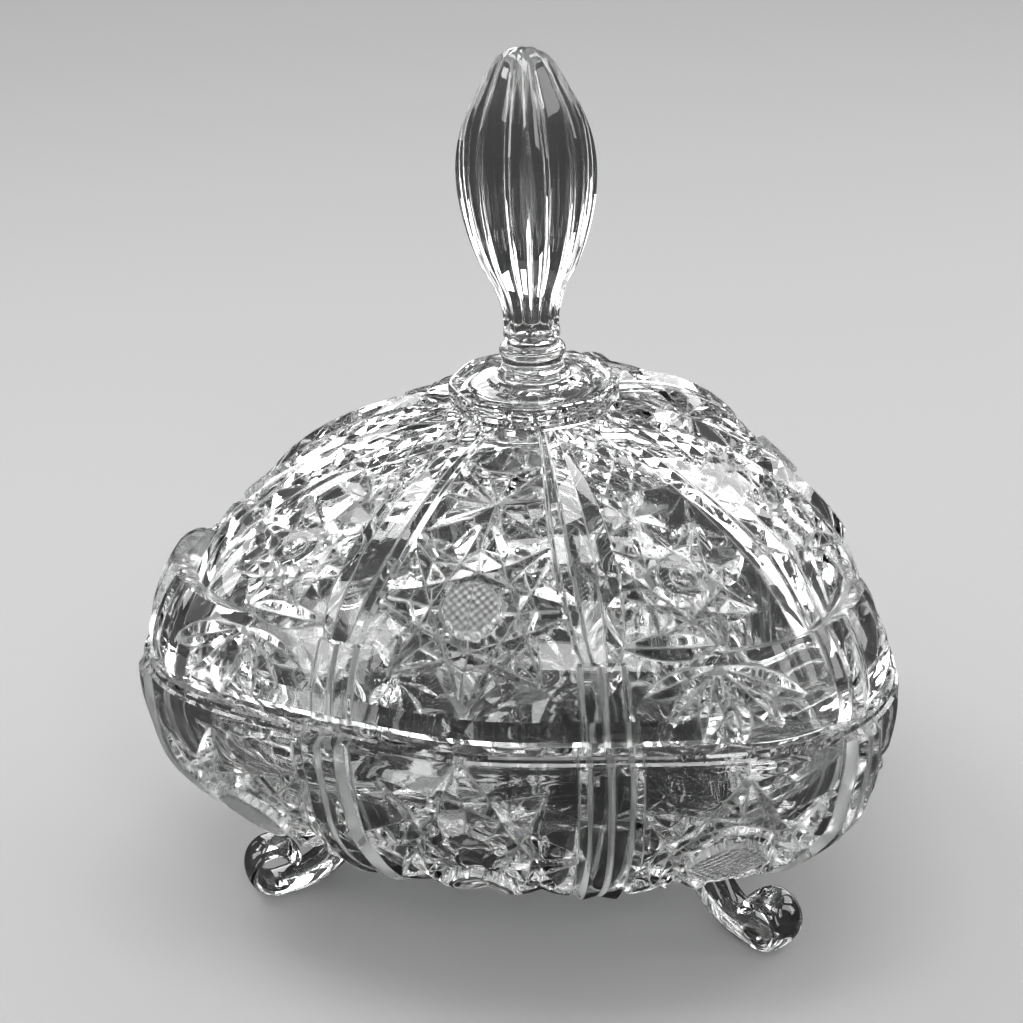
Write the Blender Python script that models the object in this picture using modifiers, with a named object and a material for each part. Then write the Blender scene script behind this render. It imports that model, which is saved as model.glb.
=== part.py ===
"""A three-footed glass powder jar with a domed, lift-off lid.

The plan is a rounded triangle with one corner on +Y. The base is a shallow
bowl on three scroll feet. The lid is a dome with a round plate, a turned
neck and a fluted finial to lift it by. Sizes are in metres, +Z is up.
"""
import math

import bmesh
import bpy
from mathutils import Vector

# Driving dimensions, in metres.
MEAN_RADIUS = 0.0750        # of the triangular plan, at the lid's rim
LOBE_OF_THREE = 0.109       # how far the three corners stand out
LOBE_OF_SIX = 0.027         # how tightly they are rounded
CORNER_ANGLE = math.radians(90.0)
GLASS_GAP = 0.0003          # left between neighbouring pieces
WALL = 0.0042
SEAT_Z = 0.0648             # underside of the lid's rim
BOWL_LEDGE = 0.0034         # how far the bowl's rim stands out past the lid's
BOWL_FLOOR_Z = 0.0145
BOWL_FLOOR_RADIUS = 0.0450
DOME_HEIGHT = 0.0465
PLATE_Z = 0.1106
PLATE_RADIUS = 0.0170
PLATE_THICKNESS = 0.0053
PLATE_SIDES = 8
PLATE_EDGE = 0.0010
NECK_HEIGHT = 0.0116
NECK_RADIUS = 0.0060
FINIAL_HEIGHT = 0.0588
FINIAL_RADIUS = 0.0145
FINIAL_FLUTES = 8
FLUTE_DEPTH = 0.09          # of the finial's radius
RIB_HEIGHT = 0.0016
RIB_HALF_ANGLE = math.radians(3.0)
RIB_ANGLES = (0.0, 36.0, 84.0)   # degrees from each corner
FLANGE_DEPTH = 0.0030
FLANGE_PLAY = 0.0010
FOOT_RADIUS = 0.0652        # from the middle to where a foot touches the table
SCROLL_RADIUS = 0.0068
SCROLL_THICKNESS = 0.0038
SCROLL_STEP = math.radians(14.0)
SCROLL_STEPS = 21
FOOT_WIDTH = 0.0098
FOOT_EDGE = 0.0009
LEG_REACH = 0.0235          # from the contact point in to the back of the leg's root
LEG_ROOT = 0.0095           # thickness of the leg where it meets the bowl
LEG_POINTS = 6

# How finely the pieces are divided.
ROUND_STEPS = 120
FINIAL_STEPS = 48
NECK_STEPS = 32
DOME_POINTS = 10

COLLECTION_NAME = "powder_jar"


def clear_scene():
    """Remove every object, so that the script starts from nothing."""
    for item in list(bpy.data.objects):
        bpy.data.objects.remove(item, do_unlink=True)


def make_collection(name):
    """Return a new collection, linked to the scene."""
    collection = bpy.data.collections.new(name)
    bpy.context.scene.collection.children.link(collection)
    return collection


def glass(name, colour, roughness):
    """Return a clear glass material."""
    material = bpy.data.materials.new(name)
    material.use_nodes = True
    shader = material.node_tree.nodes["Principled BSDF"]
    shader.inputs["Base Color"].default_value = (*colour, 1.0)
    shader.inputs["Roughness"].default_value = roughness
    shader.inputs["Metallic"].default_value = 0.0
    shader.inputs["Transmission Weight"].default_value = 1.0
    shader.inputs["IOR"].default_value = 1.54
    return material


def plan_factor(angle, fade):
    """Return how far the triangular plan stands out at an angle."""
    turn = angle - CORNER_ANGLE
    lobes = LOBE_OF_THREE * math.cos(3 * turn) + LOBE_OF_SIX * math.cos(6 * turn)
    return 1.0 + fade * lobes


def rib_amount(angle):
    """Return 1 on the crest of a rib and 0 away from the ribs."""
    turn = math.degrees(angle - CORNER_ANGLE) % 120.0
    reach = math.degrees(RIB_HALF_ANGLE)
    nearest = min(min(abs(turn - rib), abs(turn - rib - 120.0)) for rib in RIB_ANGLES)
    return max(0.0, 1.0 - nearest / reach)


def turned(name, profile, steps, collection):
    """Turn a profile of (radius, height) round the Z axis with a Screw modifier."""
    mesh = bpy.data.meshes.new(name)
    points = [(radius, 0.0, height) for radius, height in profile]
    edges = [(index, index + 1) for index in range(len(points) - 1)]
    mesh.from_pydata(points, edges, [])
    item = bpy.data.objects.new(name, mesh)
    collection.objects.link(item)
    screw = item.modifiers.new("turn", "SCREW")
    screw.steps = steps
    screw.render_steps = steps
    screw.use_merge_vertices = True
    screw.merge_threshold = 0.00001
    screw.use_normal_calculate = True
    return item


def settle(item):
    """Turn an object's modifiers into plain mesh."""
    graph = bpy.context.evaluated_depsgraph_get()
    solid = bpy.data.meshes.new_from_object(item.evaluated_get(graph))
    item.modifiers.clear()
    item.data = solid


def face_outward(item):
    """Weld the mesh and point all of its faces outward."""
    work = bmesh.new()
    work.from_mesh(item.data)
    bmesh.ops.remove_doubles(work, verts=work.verts, dist=0.00001)
    bmesh.ops.recalc_face_normals(work, faces=work.faces)
    work.to_mesh(item.data)
    work.free()


def make_three_cornered(item, profile, ribbed):
    """Press a turned piece into the triangular plan and raise its ribs.

    ribbed holds the numbers of the profile's points that carry ribs.
    """
    for vertex in item.data.vertices:
        radius = math.hypot(vertex.co.x, vertex.co.y)
        if radius < 0.0001:
            continue
        place = (radius, vertex.co.z)
        nearest = min(range(len(profile)), key=lambda number: math.dist(profile[number], place))
        angle = math.atan2(vertex.co.y, vertex.co.x)
        new_radius = radius * plan_factor(angle, min(1.0, math.sqrt(radius / MEAN_RADIUS)))
        if nearest in ribbed:
            new_radius += RIB_HEIGHT * rib_amount(angle)
        vertex.co.x = new_radius * math.cos(angle)
        vertex.co.y = new_radius * math.sin(angle)


def finish(item, material):
    """Give a piece its material."""
    item.data.materials.clear()
    item.data.materials.append(material)
    return item


def make_bowl(collection, material):
    """Make the shallow bowl, with its wall, floor and ribs."""
    rim_z = SEAT_Z - GLASS_GAP
    wall_radius = MEAN_RADIUS + BOWL_LEDGE
    outer = [
        (wall_radius - 0.0008, rim_z),
        (wall_radius + 0.0004, rim_z - 0.0016),
        (wall_radius + 0.0008, 0.0590),
        (wall_radius - 0.0004, 0.0500),
        (wall_radius - 0.0026, 0.0400),
        (wall_radius - 0.0076, 0.0320),
        (wall_radius - 0.0160, 0.0248),
        (BOWL_FLOOR_RADIUS + 0.0070, 0.0182),
        (BOWL_FLOOR_RADIUS, BOWL_FLOOR_Z),
        (0.0, BOWL_FLOOR_Z),
    ]
    inner = [
        (0.0, BOWL_FLOOR_Z + WALL),
        (BOWL_FLOOR_RADIUS - 0.0030, BOWL_FLOOR_Z + WALL),
        (MEAN_RADIUS - 0.0190, 0.0262),
        (MEAN_RADIUS - 0.0100, 0.0335),
        (MEAN_RADIUS - 0.0060, 0.0420),
        (MEAN_RADIUS - WALL, 0.0520),
        (MEAN_RADIUS - WALL, rim_z),
    ]
    profile = inner + outer
    item = turned("bowl", profile, ROUND_STEPS, collection)
    settle(item)
    wall_points = range(len(inner) + 1, len(inner) + len(outer) - 3)
    make_three_cornered(item, profile, wall_points)
    face_outward(item)
    return finish(item, material)


def dome_point(share):
    """Return a point of the dome's outer curve at a share of the rim's radius."""
    height = DOME_HEIGHT * math.sqrt(1.0 - share ** 2)
    return share * MEAN_RADIUS, SEAT_Z + height


def make_dome(collection, material):
    """Make the lid's dome, with its ribs and the flange that centres it."""
    top_z = PLATE_Z - GLASS_GAP
    flat = PLATE_RADIUS + 0.0006
    first = flat / MEAN_RADIUS
    outer = [(0.0, top_z), (flat, top_z)]
    for number in range(1, DOME_POINTS):
        bend = math.sin(0.5 * math.pi * number / DOME_POINTS)
        radius, height = dome_point(first + (1.0 - first) * bend)
        outer.append((radius + 0.0004, min(height, top_z - 0.0004 * number)))
    outer.append((MEAN_RADIUS + 0.0010, SEAT_Z + 0.0065))
    outer.append((MEAN_RADIUS, SEAT_Z))
    flange = MEAN_RADIUS - WALL - FLANGE_PLAY
    inner = [
        (flange, SEAT_Z),
        (flange, SEAT_Z - FLANGE_DEPTH),
        (flange - 0.0022, SEAT_Z - FLANGE_DEPTH),
        (flange - 0.0022, SEAT_Z + 0.0060),
    ]
    for number in range(DOME_POINTS - 2, 0, -1):
        bend = math.sin(0.5 * math.pi * number / DOME_POINTS)
        radius, height = dome_point(first + (1.0 - first) * bend)
        slope = 1.0 - 0.35 * bend
        inner.append((radius - WALL * bend * 1.05, min(height, top_z) - WALL * slope))
    inner.append((flat - 0.0030, top_z - WALL))
    inner.append((0.0, top_z - WALL))
    profile = outer + inner
    item = turned("lid_dome", profile, ROUND_STEPS, collection)
    settle(item)
    make_three_cornered(item, profile, range(3, len(outer) - 1))
    face_outward(item)
    return finish(item, material)


def make_plate(collection, material):
    """Make the thick, softly eight-sided plate under the finial."""
    work = bmesh.new()
    bmesh.ops.create_cone(
        work, cap_ends=True, cap_tris=False, segments=PLATE_SIDES * 4,
        radius1=PLATE_RADIUS, radius2=PLATE_RADIUS, depth=PLATE_THICKNESS)
    for vertex in work.verts:
        angle = math.atan2(vertex.co.y, vertex.co.x)
        side = math.cos(PLATE_SIDES * angle)
        vertex.co.x *= 1.0 + 0.012 * side
        vertex.co.y *= 1.0 + 0.012 * side
    mesh = bpy.data.meshes.new("lid_plate")
    work.to_mesh(mesh)
    work.free()
    item = bpy.data.objects.new("lid_plate", mesh)
    collection.objects.link(item)
    item.location = (0.0, 0.0, PLATE_Z + 0.5 * PLATE_THICKNESS)
    edge = item.modifiers.new("edge", "BEVEL")
    edge.width = PLATE_EDGE
    edge.segments = 2
    edge.limit_method = "ANGLE"
    edge.angle_limit = math.radians(50.0)
    return finish(item, material)


def make_neck(collection, material):
    """Make the stepped neck between the plate and the finial."""
    foot_z = PLATE_Z + PLATE_THICKNESS + GLASS_GAP
    height = NECK_HEIGHT
    radius = NECK_RADIUS
    profile = [
        (0.0, foot_z + height),
        (radius, foot_z + height),
        (radius + 0.0008, foot_z + 0.86 * height),
        (radius + 0.0008, foot_z + 0.74 * height),
        (radius - 0.0002, foot_z + 0.64 * height),
        (radius, foot_z + 0.50 * height),
        (radius + 0.0013, foot_z + 0.42 * height),
        (radius + 0.0015, foot_z + 0.18 * height),
        (radius + 0.0034, foot_z),
        (0.0, foot_z),
    ]
    item = turned("finial_neck", profile, NECK_STEPS, collection)
    settle(item)
    face_outward(item)
    return finish(item, material)


def make_finial(collection, material):
    """Make the tall, fluted, teardrop finial."""
    foot_z = PLATE_Z + PLATE_THICKNESS + NECK_HEIGHT + 2 * GLASS_GAP
    outline = [
        (0.00, 1.000), (0.30, 0.985), (0.57, 0.930), (0.79, 0.825),
        (0.94, 0.690), (1.00, 0.540), (0.95, 0.400), (0.79, 0.260),
        (0.56, 0.120), (0.43, 0.020), (0.42, 0.000), (0.00, 0.000),
    ]
    profile = [(FINIAL_RADIUS * share, foot_z + FINIAL_HEIGHT * rise) for share, rise in outline]
    item = turned("finial", profile, FINIAL_STEPS, collection)
    settle(item)
    for vertex in item.data.vertices:
        angle = math.atan2(vertex.co.y, vertex.co.x)
        hollow = FLUTE_DEPTH * abs(math.sin(0.5 * FINIAL_FLUTES * angle))
        vertex.co.x *= 1.0 - hollow
        vertex.co.y *= 1.0 - hollow
    face_outward(item)
    return finish(item, material)


def bent_line(start, pull, end, count):
    """Return points from start to end along a curve drawn towards pull."""
    points = []
    for number in range(count):
        share = number / count
        rest = 1.0 - share
        weights = (rest * rest, 2 * rest * share, share * share)
        out = sum(weight * place[0] for weight, place in zip(weights, (start, pull, end)))
        up = sum(weight * place[1] for weight, place in zip(weights, (start, pull, end)))
        points.append((out, up))
    return points


def scroll_outline():
    """Return the side outline of a foot: a leg that ends in a rolled-up scroll.

    The points are (outward, up), measured from where the foot touches the table.
    """
    start = math.radians(270.0) - 1.5 * SCROLL_STEP
    middle_z = SCROLL_RADIUS * math.cos(0.5 * SCROLL_STEP)
    outside = []
    inside = []
    for number in range(SCROLL_STEPS + 1):
        share = max(0.0, (number - 2) / (SCROLL_STEPS - 2))
        angle = start + SCROLL_STEP * number
        outer = SCROLL_RADIUS * (1.0 - 0.10 * share)
        inner = outer - SCROLL_THICKNESS * (1.0 - 0.25 * share)
        outside.append((outer * math.cos(angle), outer * math.sin(angle) + middle_z))
        inside.append((inner * math.cos(angle), inner * math.sin(angle) + middle_z))
    top = BOWL_FLOOR_Z - GLASS_GAP
    back = (-LEG_REACH, top)
    front = (-LEG_REACH + LEG_ROOT, top)
    under = bent_line(back, (-0.62 * LEG_REACH, 0.0), outside[0], LEG_POINTS)
    over = bent_line(front, (-0.32 * LEG_REACH, 0.36 * top), inside[0], LEG_POINTS)
    return under + outside + inside[:0:-1] + over[::-1]


def make_foot(name, angle, collection, material):
    """Make one scroll foot as a flat outline with thickness and soft edges."""
    curve = bpy.data.curves.new(name, "CURVE")
    curve.dimensions = "2D"
    curve.fill_mode = "BOTH"
    curve.extrude = 0.5 * FOOT_WIDTH - FOOT_EDGE
    curve.bevel_depth = FOOT_EDGE
    curve.bevel_resolution = 0
    curve.offset = -FOOT_EDGE
    outline = scroll_outline()
    line = curve.splines.new("POLY")
    line.points.add(len(outline) - 1)
    for point, (out, up) in zip(line.points, outline):
        point.co = (out, up, 0.0, 1.0)
    line.use_cyclic_u = True
    item = bpy.data.objects.new(name, curve)
    collection.objects.link(item)
    mesh = bpy.data.meshes.new_from_object(item)
    bpy.data.objects.remove(item)
    solid = bpy.data.objects.new(name, mesh)
    collection.objects.link(solid)
    solid.rotation_euler = (math.radians(90.0), 0.0, angle)
    solid.location = (FOOT_RADIUS * math.cos(angle), FOOT_RADIUS * math.sin(angle), 0.0)
    face_outward(solid)
    return finish(solid, material)


def middle_across(item):
    """Return the middle of a piece's span along Y."""
    places = [vertex.co.y for vertex in item.data.vertices]
    return 0.5 * (min(places) + max(places))


def build():
    """Make the whole jar, with the box round it centred on the origin."""
    clear_scene()
    jar = make_collection(COLLECTION_NAME)
    clear = (0.93, 0.95, 0.95)
    base_pieces = [make_bowl(jar, glass("bowl_glass", clear, 0.03))]
    foot_names = ("foot_back", "foot_left", "foot_right")
    for number, name in enumerate(foot_names):
        angle = CORNER_ANGLE + number * math.radians(120.0)
        base_pieces.append(make_foot(name, angle, jar, glass(name + "_glass", clear, 0.03)))
    lid_pieces = [
        make_dome(jar, glass("dome_glass", clear, 0.03)),
        make_plate(jar, glass("plate_glass", clear, 0.02)),
        make_neck(jar, glass("neck_glass", clear, 0.02)),
        make_finial(jar, glass("finial_glass", clear, 0.02)),
    ]

    axis_y = -middle_across(base_pieces[0])
    base_frame = bpy.data.objects.new("base_frame", None)
    lid_frame = bpy.data.objects.new("lid_frame", None)
    base_frame.location = (0.0, axis_y, 0.0)
    lid_frame.location = (0.0, axis_y, SEAT_Z)
    jar.objects.link(base_frame)
    jar.objects.link(lid_frame)
    for piece in base_pieces:
        piece.parent = base_frame
    for piece in lid_pieces:
        piece.parent = lid_frame
        piece.matrix_parent_inverse.translation = Vector((0.0, 0.0, -SEAT_Z))
    print("jar axis at y =", round(axis_y, 6))


build()
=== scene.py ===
# %% [markdown]
# # A pressed-glass powder jar
# The jar has two loose parts: a three-cornered bowl on three scroll feet, and a
# domed lid that lifts straight off by its fluted finial. Each was pressed in a
# mould in one go. Here the lid is one closed body of glass, and the bowl and its
# three feet are four closed bodies that meet. Light bends at every face of a
# clear body, so a hidden joint inside would show as a dark line.

import bpy
import numpy as np
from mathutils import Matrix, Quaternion, Vector


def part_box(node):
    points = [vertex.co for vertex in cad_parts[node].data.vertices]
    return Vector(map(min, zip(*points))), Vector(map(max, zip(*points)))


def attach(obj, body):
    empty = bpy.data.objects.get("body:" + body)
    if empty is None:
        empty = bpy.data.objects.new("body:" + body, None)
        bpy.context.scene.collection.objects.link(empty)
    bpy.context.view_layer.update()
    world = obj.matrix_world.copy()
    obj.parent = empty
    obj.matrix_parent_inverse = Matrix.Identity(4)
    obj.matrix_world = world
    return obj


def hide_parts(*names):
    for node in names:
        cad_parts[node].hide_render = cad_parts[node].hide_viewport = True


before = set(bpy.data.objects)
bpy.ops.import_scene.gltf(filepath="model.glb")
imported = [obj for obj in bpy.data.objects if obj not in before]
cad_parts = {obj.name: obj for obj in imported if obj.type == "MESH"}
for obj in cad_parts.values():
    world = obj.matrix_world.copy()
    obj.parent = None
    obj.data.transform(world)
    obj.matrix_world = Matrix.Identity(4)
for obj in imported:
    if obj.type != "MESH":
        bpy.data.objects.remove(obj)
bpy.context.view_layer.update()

# %% [markdown]
# The jar stands on its own axis, which is not quite the middle of its box,
# because a triangle reaches further towards its corner than towards its side.
# The finial is round, so the middle of its box gives the axis. Every length
# below is in millimetres, as a mould maker would give it, and turned into
# metres only when a mesh is made.

# %% Measure the frame
MM = 0.001


def span(node):
    """Return a node's lowest and highest corner in millimetres."""
    low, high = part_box(node)
    return np.array(low) / MM, np.array(high) / MM


finial_low, finial_high = span("finial")
neck_low, neck_high = span("finial_neck")
plate_low, plate_high = span("lid_plate")
bowl_low, bowl_high = span("bowl")
AXIS = 0.5 * (finial_low[:2] + finial_high[:2])
RIM_Z = bowl_high[2]
SEAT_Z = RIM_Z + 0.3
FLOOR_Z = bowl_low[2]
print("axis:", AXIS, "rim at", RIM_Z, "floor at", FLOOR_Z)

# %% [markdown]
# The plan is a circle pushed out at three corners: the radius is the mean
# radius times one plus two cosine waves, one of three lobes and one of six.
# The waves fade towards the middle, so the top of the lid is nearly round.

# %% The three-cornered plan
MEAN_RADIUS = 75.0
THREE_LOBES = 0.109
SIX_LOBES = 0.027
CORNER = np.radians(90.0)
FINE = 720
COARSE = 144


def plan(turn, radius):
    """Mean radius times (1 + fade x (0.109 cos 3t + 0.027 cos 6t)), t from a corner."""
    corner_turn = turn - CORNER
    fade = np.minimum(1.0, np.sqrt(np.maximum(radius, 0.0) / MEAN_RADIUS))
    lobes = THREE_LOBES * np.cos(3 * corner_turn) + SIX_LOBES * np.cos(6 * corner_turn)
    return radius * (1.0 + fade * lobes)


def fold(turn):
    """Return the unsigned angle from the nearest corner, and the side it lies on."""
    third = 2 * np.pi / 3
    signed = (turn - CORNER + 0.5 * third) % third - 0.5 * third
    return np.abs(signed), np.where(signed < 0, -1.0, 1.0)


# %% [markdown]
# The cut pattern is one panel, mirrored six times round the jar. It is drawn on
# the unrolled wall: x runs round it from the middle of a motif, y runs up it.
# A cut is a V-shaped groove, so its depth is what is left of the full depth
# after a slope times the distance from its line. A facet is flat between the
# grooves, and only looks crisp if the mesh has an edge exactly on each crease.
# So each motif also says how far a point is from its nearest crease, and the
# grid points next to a crease are pulled on to it before the depth is worked out.

# %% A sheet of grid points, and the pull of the creases
class Sheet:
    """Grid points on the unrolled wall, and the nearest crease to each."""

    def __init__(self, turn, arc, radius, cell):
        """Take angle, height along the wall, radius, and the cell's (width, height)."""
        self.q, self.side = fold(turn)
        self.arc = arc
        self.radius = radius
        self.cell = cell
        self.height = np.zeros_like(arc)
        self.best = np.full_like(arc, 0.5)
        self.pull_x = np.zeros_like(arc)
        self.pull_y = np.zeros_like(arc)
        self.matte = np.zeros_like(arc)
        self.place = np.zeros(arc.shape + (3,))

    def local(self, degrees, arc):
        """Return x and y from a motif's middle, in millimetres."""
        return (self.q - np.radians(degrees)) * self.radius, self.arc - arc

    def crease(self, across, up, where):
        """Pull points along one grid direction on to a crease that lies (across, up) away."""
        square = across ** 2 + up ** 2
        tiny = 1e-9
        step_x = square / np.where(np.abs(across) < tiny, tiny, across) / self.cell[0]
        step_y = square / np.where(np.abs(up) < tiny, tiny, up) / self.cell[1]
        sideways = np.abs(step_x) < np.abs(step_y)
        step = np.where(sideways, step_x, step_y)
        nearer = where & (np.abs(step) < self.best)
        self.best = np.where(nearer, np.abs(step), self.best)
        self.pull_x = np.where(nearer, np.where(sideways, step * self.cell[0], 0.0), self.pull_x)
        self.pull_y = np.where(nearer, np.where(sideways, 0.0, step * self.cell[1]), self.pull_y)

    def smooth(self, where):
        """Forget the creases found so far where a later motif covers them."""
        self.best = np.where(where, 0.5, self.best)
        self.pull_x = np.where(where, 0.0, self.pull_x)
        self.pull_y = np.where(where, 0.0, self.pull_y)

    def cut(self, height):
        """Cut the wall down to a height where that is lower than it is."""
        self.height = np.minimum(self.height, height)


# %% [markdown]
# The great star is eight straight grooves, each from one tip to the third tip
# along, so that they cross and leave small pyramids. The small star is the other
# way round: each ray is itself a pointed trough, deepest on the line from the
# middle to its tip.

# %% The motifs
def crossed_star(sheet, degrees, arc, tip, depth, slope, turn=0.0, outer_slope=1.3):
    """Depth left of 'depth' after slope x the distance to the nearest of eight tip-to-tip lines."""
    x, y = sheet.local(degrees, arc)
    rho = np.hypot(x, y)
    near = rho < tip * 1.08
    inner = tip * np.cos(3 * np.pi / 8)
    half = tip * np.sin(3 * np.pi / 8)
    normals = turn + np.pi / 8 + np.arange(8) * np.pi / 4
    shape = (8,) + (1,) * x.ndim
    nx = np.cos(normals).reshape(shape)
    ny = np.sin(normals).reshape(shape)
    signed = x * nx + y * ny - inner
    run = np.abs(-x * ny + y * nx)
    away = np.where(run < half, np.abs(signed), 99.0)
    order = np.argsort(away, axis=0)
    first = np.take_along_axis(away, order[:1], 0)[0]
    second = np.take_along_axis(away, order[1:2], 0)[0]
    signs = np.where(signed < 0, -1.0, 1.0)
    gx = np.take_along_axis(signs * nx, order[:2], 0)
    gy = np.take_along_axis(signs * ny, order[:2], 0)
    taper = np.clip((tip - rho) / (0.40 * tip), 0.0, 1.0)
    beyond = np.sum(signed > 0, axis=0) >= 3
    use = np.where(beyond, outer_slope, slope)
    left = depth * taper - use * first
    sheet.crease(-first * gx[0], -first * gy[0], near & (first < 2.0))
    ridge_x, ridge_y = gx[1] - gx[0], gy[1] - gy[0]
    size = np.maximum(ridge_x ** 2 + ridge_y ** 2, 1e-6)
    gap = second - first
    inside = near & ~beyond & (left > 0) & (size > 0.05)
    sheet.crease(-gap * ridge_x / size, -gap * ridge_y / size, inside)
    brink = first - depth * taper / outer_slope
    sheet.crease(-brink * gx[0], -brink * gy[0], near & beyond & (np.abs(brink) < 1.5))
    sheet.cut(np.where(near, -np.maximum(left, 0.0), 0.0))


def sunk_star(sheet, degrees, arc, tip, notch, depth, missing=99, points=8):
    """Depth grows with the distance inside the straight edge from each tip to its notch.

    Tips are counted from the one that points along x; a missing one is cut off
    by a straight edge from notch to notch.
    """
    x, y = sheet.local(degrees, arc)
    rho = np.hypot(x, y)
    step = 2 * np.pi / points
    around = np.arctan2(y, x)
    number = np.round(around / step)
    lean = around - number * step
    hand = np.where(lean < 0, -1.0, 1.0)
    ray = number * step
    gone = number == missing
    u, v = rho * np.cos(lean), rho * np.abs(np.sin(lean))
    notch_u, notch_v = notch * np.cos(step / 2), notch * np.sin(step / 2)
    edge = np.hypot(notch_u - tip, notch_v)
    ex, ey = notch_v / edge, (tip - notch_u) / edge
    full = tip * ex
    inside = np.where(gone, (notch_u - u) * full / notch_u, (tip - u) * ex - v * ey)
    near = rho < tip * 1.05
    ux, uy = np.cos(ray), np.sin(ray)
    vx, vy = -np.sin(ray) * hand, np.cos(ray) * hand
    sheet.crease(-v * vx, -v * vy, near & ~gone & (inside > -0.2))
    sheet.crease(inside * (ex * ux + ey * vx), inside * (ex * uy + ey * vy), near & ~gone)
    sheet.crease((notch_u - u) * ux, (notch_u - u) * uy, near & gone)
    away = rho * np.sin(step / 2 - np.abs(lean))
    mx, my = -np.sin(step / 2), np.cos(step / 2)
    sheet.crease(away * (mx * ux + my * vx), away * (mx * uy + my * vy), near & (inside > 0))
    sheet.cut(np.where(near, -depth * np.maximum(inside, 0.0) / full, 0.0))


def button(sheet, degrees, arc, radius, moat, dimple=0.0, matte=0.0):
    """A flat round face with a V-shaped moat round it and, if asked, a round dimple in it."""
    x, y = sheet.local(degrees, arc)
    rho = np.maximum(np.hypot(x, y), 1e-6)
    gap = rho - radius
    sheet.smooth(gap < moat / 1.3)
    sheet.crease(-gap * x / rho, -gap * y / rho, np.abs(gap) < 1.2)
    brink = gap - moat / 1.3
    sheet.crease(-brink * x / rho, -brink * y / rho, np.abs(brink) < 0.6)
    face = np.zeros_like(rho)
    if dimple > 0:
        ring = rho - dimple
        sheet.crease(-ring * x / rho, -ring * y / rho, np.abs(ring) < 1.2)
        face = face - 0.8 * np.maximum(0.0, 1.0 - (rho / dimple) ** 2)
    sheet.height = np.where(gap < 0, face, sheet.height)
    sheet.matte = np.where(gap < 0.1, matte, sheet.matte)
    around = rho < 1.5 * radius
    sheet.place = np.where(around[..., None], np.stack([x, y, 0 * x], -1), sheet.place)
    sheet.cut(np.where(gap >= 0, -np.maximum(0.0, moat - 1.3 * gap), 9.0))


def leaf(sheet, degrees, arc, length, width, depth, lean=0.0):
    """A pointed trough: depth x (1 - distance across / half width), half width falls as 1 - t^2."""
    x, y = sheet.local(degrees, arc)
    angle = np.radians(lean)
    along = x * np.cos(angle) + y * np.sin(angle)
    across = -x * np.sin(angle) + y * np.cos(angle)
    share = 1.0 - (2 * along / length) ** 2
    half = 0.5 * width * share
    on = share > 0
    ax, ay = -np.sin(angle), np.cos(angle)
    sheet.crease(-across * ax, -across * ay, on & (np.abs(across) < 1.5))
    edge = (half - np.abs(across)) * np.sign(across)
    sheet.crease(edge * ax, edge * ay, on & (np.abs(edge) < 1.5))
    sheet.cut(np.where(on, -depth * np.maximum(0.0, half - np.abs(across)) / (0.5 * width), 0.0))


def fan(sheet, degrees, arc, length, width, depth, leans):
    """Pointed troughs that start together and spread, each as long as the fan."""
    reach = 0.5 * length
    for lean in leans:
        angle = np.radians(lean)
        radius = 72.0
        shift = np.degrees(reach * np.cos(angle) / radius)
        leaf(sheet, degrees + shift, arc + reach * np.sin(angle), length, width, depth, lean)


def hobnails(sheet, low, high, left, right, wide, tall, depth, slope):
    """Bosses left between two crossing sets of V grooves: slope x the distance to the nearest."""
    x = (sheet.q - np.radians(18.0)) * sheet.radius
    y = sheet.arc - low
    apart = 1.0 / np.hypot(1.0 / wide, 1.0 / tall)
    inside_x = (sheet.q > np.radians(left)) & (sheet.q < np.radians(right))
    inside = inside_x & (sheet.arc > low) & (sheet.arc < high)
    sheet.smooth(inside)
    nearest = np.full_like(x, 9.0)
    for hand in (1.0, -1.0):
        number = x / wide + hand * y / tall
        gap = (number - np.round(number)) * apart
        nx, ny = apart / wide, hand * apart / tall
        sheet.crease(-gap * nx, -gap * ny, inside)
        nearest = np.minimum(nearest, np.abs(gap))
    sheet.crease(0 * x, low - sheet.arc, inside_x & (np.abs(y) < 1.0))
    boss = np.minimum(depth, slope * nearest) - depth
    sheet.height = np.where(inside, boss, sheet.height)


def rib(sheet, degrees, half_widths, shape, low=-9.0, high=999.0):
    """Raise a rib: straight facets through (share of half width, height) pairs."""
    x, _ = sheet.local(degrees, 0.0)
    half = np.interp(sheet.arc, *half_widths)
    spot = x / half
    here = (sheet.arc > low) & (sheet.arc <= high)
    near = here & (np.abs(spot) < 1.25)
    sheet.smooth(here & (np.abs(spot) < 1.1))
    places = np.array([place for place, _ in shape])
    rises = np.array([rise for _, rise in shape])
    for place in places:
        sheet.crease((place - spot) * half, 0 * x, near)
    raised = np.interp(spot, places, rises)
    sheet.height = np.where(here & (np.abs(spot) < 1.0), raised, sheet.height)


# %% [markdown]
# The lid's panels: over the middle of each side there is a great star with a
# small one above it. On each side of a corner there is a lesser star, a fan
# below it and a field of hobnails above. Double ribs run up between them.

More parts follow.
